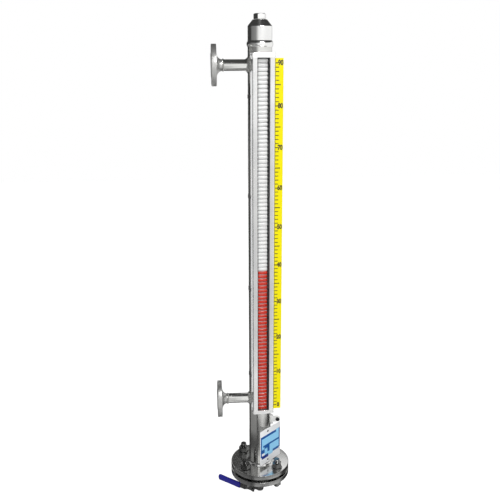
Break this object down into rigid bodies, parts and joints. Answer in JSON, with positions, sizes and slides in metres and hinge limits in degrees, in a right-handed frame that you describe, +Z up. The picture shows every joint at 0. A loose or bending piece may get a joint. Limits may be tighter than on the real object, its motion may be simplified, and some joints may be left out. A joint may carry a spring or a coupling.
{
  "type": "magnetic level gauge",
  "caption": "Upright magnetic level gauge: float chamber with two side flanges, flip roller indicator with a yellow scale, flanged bottom and a small drain valve.",
  "frame": {"origin": "centre of the lower process flange's raised face", "axes": "+X from the process flanges to the chamber, +Z up along the chamber, the indicator looks towards -Y"},
  "size_m": [0.2033, 0.165, 1.318],
  "materials": {
    "tube_steel": "polished stainless steel with a faint grain",
    "flange_steel": "turned and polished stainless steel",
    "fixing_steel": "bright stainless steel",
    "stop_steel": "plain stainless tube",
    "float_steel": "thin drawn stainless steel",
    "magnet": "dark sintered ring",
    "housing_steel": "mirror polished sheet",
    "glass": "clear",
    "comb": "dark moulded plastic",
    "roller_red": "red half to the front",
    "roller_white": "white half to the front",
    "scale": "yellow with dark ticks and numbers",
    "nameplate": "printed in blue fields, no text",
    "valve_steel": "cast stainless steel, ball polished",
    "lever_steel": "dark steel",
    "soft": "white sealing plastic",
    "gasket": "black sheet",
    "sleeve": "blue dipped plastic"
  },
  "bodies": {
    "gauge": {"chamber_tube": "tube_steel", "upper_nozzle": "tube_steel", "lower_nozzle": "tube_steel", "top_cap": "tube_steel", "drain_nipple": "tube_steel", "nameplate_bracket": "tube_steel", "earth_lug": "tube_steel", "upper_process_flange": "flange_steel", "lower_process_flange": "flange_steel", "bottom_flange": "flange_steel", "blind_flange": "flange_steel", "flange_studs": "fixing_steel", "flange_washers": "fixing_steel", "flange_nuts": "fixing_steel", "end_cap_screws": "fixing_steel", "scale_rivets": "fixing_steel", "nameplate_rivets": "fixing_steel", "clamp_bands": "fixing_steel", "clamp_screws": "fixing_steel", "vent_plug": "fixing_steel", "gland_nut": "fixing_steel", "lower_stop_tube": "stop_steel", "upper_stop_tube": "stop_steel", "indicator_housing": "housing_steel", "indicator_rail": "housing_steel", "top_end_cap": "housing_steel", "bottom_end_cap": "housing_steel", "indicator_glass": "glass", "roller_carrier": "comb", "scale_plate": "scale", "nameplate": "nameplate", "valve_body": "valve_steel", "valve_end": "valve_steel", "earth_bolt": "lever_steel", "valve_seats": "soft", "stem_packing": "soft", "vent_seal": "soft", "flange_gasket": "gasket"},
    "float": {"float_lower_shell": "float_steel", "float_upper_shell": "float_steel", "float_magnet": "magnet"},
    "lever": {"valve_ball": "valve_steel", "valve_stem": "fixing_steel", "valve_lever": "lever_steel", "lever_nut": "fixing_steel", "lever_sleeve": "sleeve"},
    "roller_32_body": {"roller_32": "roller_red"},
    "roller_33_body": {"roller_33": "roller_red"},
    "roller_34_body": {"roller_34": "roller_red"},
    "roller_35_body": {"roller_35": "roller_red"},
    "roller_36_body": {"roller_36": "roller_red"},
    "roller_37_body": {"roller_37": "roller_red"},
    "roller_38_body": {"roller_38": "roller_red"},
    "roller_39_body": {"roller_39": "roller_white"},
    "roller_40_body": {"roller_40": "roller_white"},
    "roller_41_body": {"roller_41": "roller_white"},
    "roller_42_body": {"roller_42": "roller_white"},
    "roller_43_body": {"roller_43": "roller_white"},
    "roller_44_body": {"roller_44": "roller_white"}
  },
  "joints": [
    {"name": "float_slide", "type": "slide", "parent": "gauge", "child": "float", "axis": [0, 0, 1], "range_m": [0, 0.9]},
    {"name": "lever_turn", "type": "hinge", "parent": "gauge", "child": "lever", "pos_m": [0.12, 0, -0.277], "axis": [-0.6157, -0.788, 0], "range_deg": [0, 90]},
    {"name": "flip_32", "type": "hinge", "parent": "gauge", "child": "roller_32_body", "pos_m": [0.12348, -0.03975, 0.32], "axis": [0.9962, 0.0872, 0], "range_deg": [0, 180]},
    {"name": "flip_33", "type": "hinge", "parent": "gauge", "child": "roller_33_body", "pos_m": [0.12348, -0.03975, 0.33], "axis": [0.9962, 0.0872, 0], "range_deg": [0, 180]},
    {"name": "flip_34", "type": "hinge", "parent": "gauge", "child": "roller_34_body", "pos_m": [0.12348, -0.03975, 0.34], "axis": [0.9962, 0.0872, 0], "range_deg": [0, 180]},
    {"name": "flip_35", "type": "hinge", "parent": "gauge", "child": "roller_35_body", "pos_m": [0.12348, -0.03975, 0.35], "axis": [0.9962, 0.0872, 0], "range_deg": [0, 180]},
    {"name": "flip_36", "type": "hinge", "parent": "gauge", "child": "roller_36_body", "pos_m": [0.12348, -0.03975, 0.36], "axis": [0.9962, 0.0872, 0], "range_deg": [0, 180]},
    {"name": "flip_37", "type": "hinge", "parent": "gauge", "child": "roller_37_body", "pos_m": [0.12348, -0.03975, 0.37], "axis": [0.9962, 0.0872, 0], "range_deg": [0, 180]},
    {"name": "flip_38", "type": "hinge", "parent": "gauge", "child": "roller_38_body", "pos_m": [0.12348, -0.03975, 0.38], "axis": [0.9962, 0.0872, 0], "range_deg": [0, 180]},
    {"name": "flip_39", "type": "hinge", "parent": "gauge", "child": "roller_39_body", "pos_m": [0.12348, -0.03975, 0.39], "axis": [0.9962, 0.0872, 0], "range_deg": [0, 180]},
    {"name": "flip_40", "type": "hinge", "parent": "gauge", "child": "roller_40_body", "pos_m": [0.12348, -0.03975, 0.4], "axis": [0.9962, 0.0872, 0], "range_deg": [0, 180]},
    {"name": "flip_41", "type": "hinge", "parent": "gauge", "child": "roller_41_body", "pos_m": [0.12348, -0.03975, 0.41], "axis": [0.9962, 0.0872, 0], "range_deg": [0, 180]},
    {"name": "flip_42", "type": "hinge", "parent": "gauge", "child": "roller_42_body", "pos_m": [0.12348, -0.03975, 0.42], "axis": [0.9962, 0.0872, 0], "range_deg": [0, 180]},
    {"name": "flip_43", "type": "hinge", "parent": "gauge", "child": "roller_43_body", "pos_m": [0.12348, -0.03975, 0.43], "axis": [0.9962, 0.0872, 0], "range_deg": [0, 180]},
    {"name": "flip_44", "type": "hinge", "parent": "gauge", "child": "roller_44_body", "pos_m": [0.12348, -0.03975, 0.44], "axis": [0.9962, 0.0872, 0], "range_deg": [0, 180]}
  ]
}
